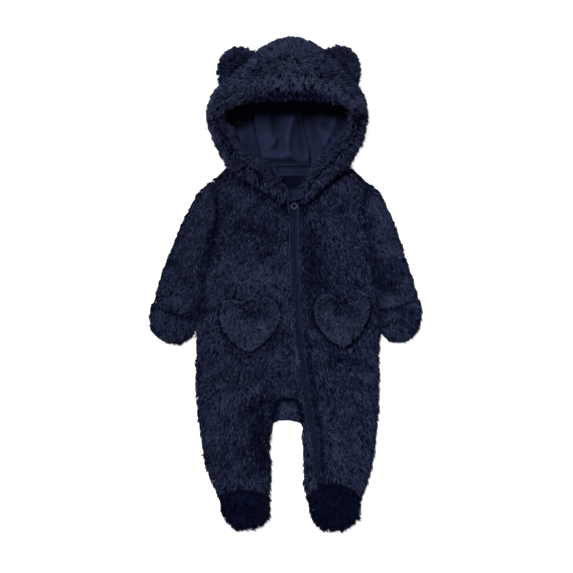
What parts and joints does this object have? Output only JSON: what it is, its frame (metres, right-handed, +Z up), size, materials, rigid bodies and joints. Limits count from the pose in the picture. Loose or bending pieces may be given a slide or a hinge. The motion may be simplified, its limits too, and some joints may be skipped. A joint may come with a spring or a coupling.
{
  "type": "hooded fleece jumpsuit for a baby",
  "caption": "Zipped fleece jumpsuit with an open hood with ears, heart pockets, mitten flaps and closed feet, laid flat on its back",
  "frame": {"origin": "middle of the garment's bounding box in plan, on the surface that it lies on", "axes": "+Y points to the hood, +Z is up, out of the garment's front, and +X is to the right as seen from the front"},
  "size_m": [0.3825, 0.7016, 0.0663],
  "materials": {
    "fleece": "long soft pile, dull",
    "foot_fleece": "short curled pile, dull",
    "jersey": "smooth fine knit",
    "zip_tape": "woven tape",
    "zip_metal": "satin lacquer"
  },
  "bodies": {
    "garment": {"back": "fleece", "front_left": "fleece", "front_right": "fleece", "crotch_gusset": "fleece", "sleeve_left": "fleece", "sleeve_right": "fleece", "cuff_left": "fleece", "cuff_right": "fleece", "foot_left_sole": "foot_fleece", "foot_left_upper": "foot_fleece", "foot_right_sole": "foot_fleece", "foot_right_upper": "foot_fleece", "hood_left": "fleece", "hood_right": "fleece", "hood_centre": "fleece", "hood_facing": "fleece", "hood_lining_left": "jersey", "hood_lining_centre": "jersey", "hood_lining_right": "jersey", "neck_tape": "jersey", "ear_left_front": "fleece", "ear_left_back": "fleece", "ear_right_front": "fleece", "ear_right_back": "fleece", "pocket_left": "fleece", "pocket_right": "fleece", "zip_tape_left": "zip_tape", "zip_tape_right": "zip_tape", "zip_slider": "zip_metal", "zip_garage": "jersey"},
    "pull": {"zip_pull": "zip_metal"}
  },
  "joints": [
    {"name": "pull_hinge", "type": "hinge", "parent": "garment", "child": "pull", "pos_m": [0.0126, 0.121, 0.0127], "axis": [-1, 0, 0], "range_deg": [0, 60]}
  ]
}
